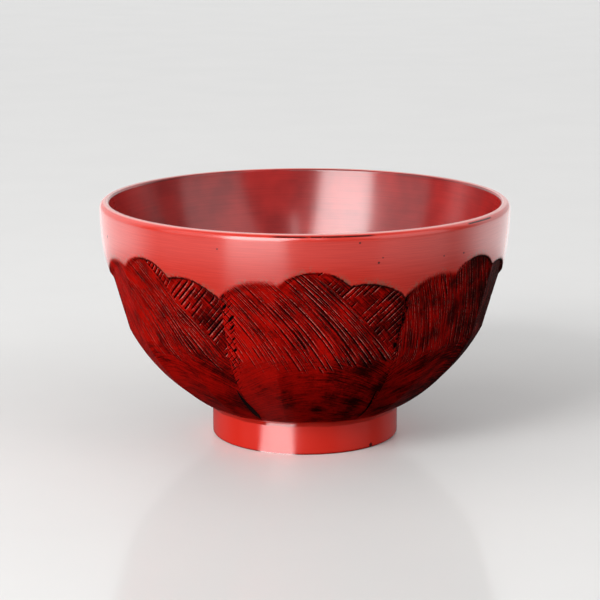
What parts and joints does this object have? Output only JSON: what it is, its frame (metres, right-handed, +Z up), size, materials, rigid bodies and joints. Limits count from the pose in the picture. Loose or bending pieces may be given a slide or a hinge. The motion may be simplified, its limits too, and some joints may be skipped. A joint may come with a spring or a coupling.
{
  "type": "soup bowl",
  "caption": "Round turned wooden soup bowl on a ring foot, with a smooth band under the lip and carved facet panels below it, in worn red lacquer over black.",
  "frame": {"origin": "middle of the sole, on the bowl's axis", "axes": "+Z up the bowl's axis, and the middle of one carved panel faces -Y"},
  "size_m": [0.128, 0.128, 0.075],
  "materials": {
    "wood": "turned and knife-carved hardwood",
    "undercoat": "black lacquer undercoat, satin",
    "red_lacquer": "brushed red lacquer, satin gloss, rubbed through to black in the carving"
  },
  "bodies": {
    "root": {"wood_body": "wood", "undercoat_outside": "undercoat", "undercoat_inside": "undercoat", "undercoat_foot_recess": "undercoat", "red_coat_outside": "red_lacquer", "red_coat_inside": "red_lacquer", "red_coat_foot_recess": "red_lacquer"}
  },
  "joints": []
}
